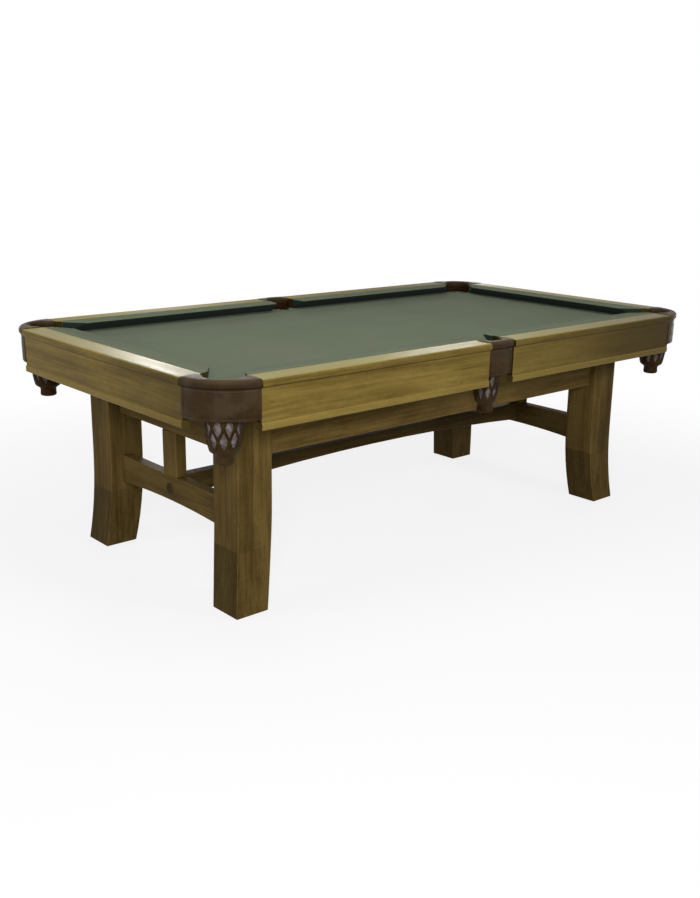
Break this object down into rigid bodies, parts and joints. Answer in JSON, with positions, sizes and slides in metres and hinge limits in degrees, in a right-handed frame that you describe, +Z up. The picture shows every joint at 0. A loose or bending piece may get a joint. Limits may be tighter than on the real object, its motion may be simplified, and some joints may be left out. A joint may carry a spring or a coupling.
{
  "type": "billiard table",
  "caption": "Slate-bed billiard table with canted oak aprons, cloth-covered cushions, leather net pockets and a stretchered base on sabre legs.",
  "frame": {"origin": "on the floor under the middle of the table", "axes": "+X along the table's length, +Y across it, +Z up from the floor"},
  "size_m": [2.286, 1.2956, 0.783],
  "materials": {
    "oak": "stained and lacquered oak, satin",
    "dark_oak": "darker stained oak, satin",
    "leather": "dark brown leather, semi-gloss",
    "cloth": "grey-green worsted cloth, matte",
    "cushion": "rubber under grey-green cloth, matte",
    "slate": null,
    "iron": "black cast iron",
    "steel": "zinc-plated steel"
  },
  "bodies": {
    "table": {"leg_front_left": "dark_oak", "leg_front_right": "dark_oak", "leg_back_left": "dark_oak", "leg_back_right": "dark_oak", "side_beam_front": "dark_oak", "side_beam_back": "dark_oak", "cross_beam_left": "dark_oak", "cross_beam_right": "dark_oak", "end_beam_left": "dark_oak", "end_beam_right": "dark_oak", "end_stretcher_left": "dark_oak", "end_stretcher_right": "dark_oak", "long_stretcher": "dark_oak", "center_post_left": "dark_oak", "center_post_right": "dark_oak", "slate_left": "slate", "slate_center": "slate", "slate_right": "slate", "bed_cloth": "cloth", "rail_front_left": "oak", "rail_front_right": "oak", "rail_back_left": "oak", "rail_back_right": "oak", "rail_left": "oak", "rail_right": "oak", "cushion_front_left": "cushion", "cushion_front_right": "cushion", "cushion_back_left": "cushion", "cushion_back_right": "cushion", "cushion_left": "cushion", "cushion_right": "cushion", "apron_front_left": "oak", "apron_front_right": "oak", "apron_back_left": "oak", "apron_back_right": "oak", "apron_left": "oak", "apron_right": "oak", "pocket_iron_front_left": "iron", "pocket_iron_front_side": "iron", "pocket_iron_front_right": "iron", "pocket_iron_back_left": "iron", "pocket_iron_back_side": "iron", "pocket_iron_back_right": "iron", "pocket_leather_front_left": "leather", "pocket_leather_front_side": "leather", "pocket_leather_front_right": "leather", "pocket_leather_back_left": "leather", "pocket_leather_back_side": "leather", "pocket_leather_back_right": "leather", "pocket_net_front_left": "leather", "pocket_net_front_side": "leather", "pocket_net_front_right": "leather", "pocket_net_back_left": "leather", "pocket_net_back_side": "leather", "pocket_net_back_right": "leather"},
    "foot_front_left": {"leveller_front_left": "steel"},
    "foot_front_right": {"leveller_front_right": "steel"},
    "foot_back_left": {"leveller_back_left": "steel"},
    "foot_back_right": {"leveller_back_right": "steel"}
  },
  "joints": [
    {"name": "level_front_left", "type": "slide", "parent": "table", "child": "foot_front_left", "axis": [0, 0, -1], "range_m": [0, 0.02]},
    {"name": "level_front_right", "type": "slide", "parent": "table", "child": "foot_front_right", "axis": [0, 0, -1], "range_m": [0, 0.02]},
    {"name": "level_back_left", "type": "slide", "parent": "table", "child": "foot_back_left", "axis": [0, 0, -1], "range_m": [0, 0.02]},
    {"name": "level_back_right", "type": "slide", "parent": "table", "child": "foot_back_right", "axis": [0, 0, -1], "range_m": [0, 0.02]}
  ]
}
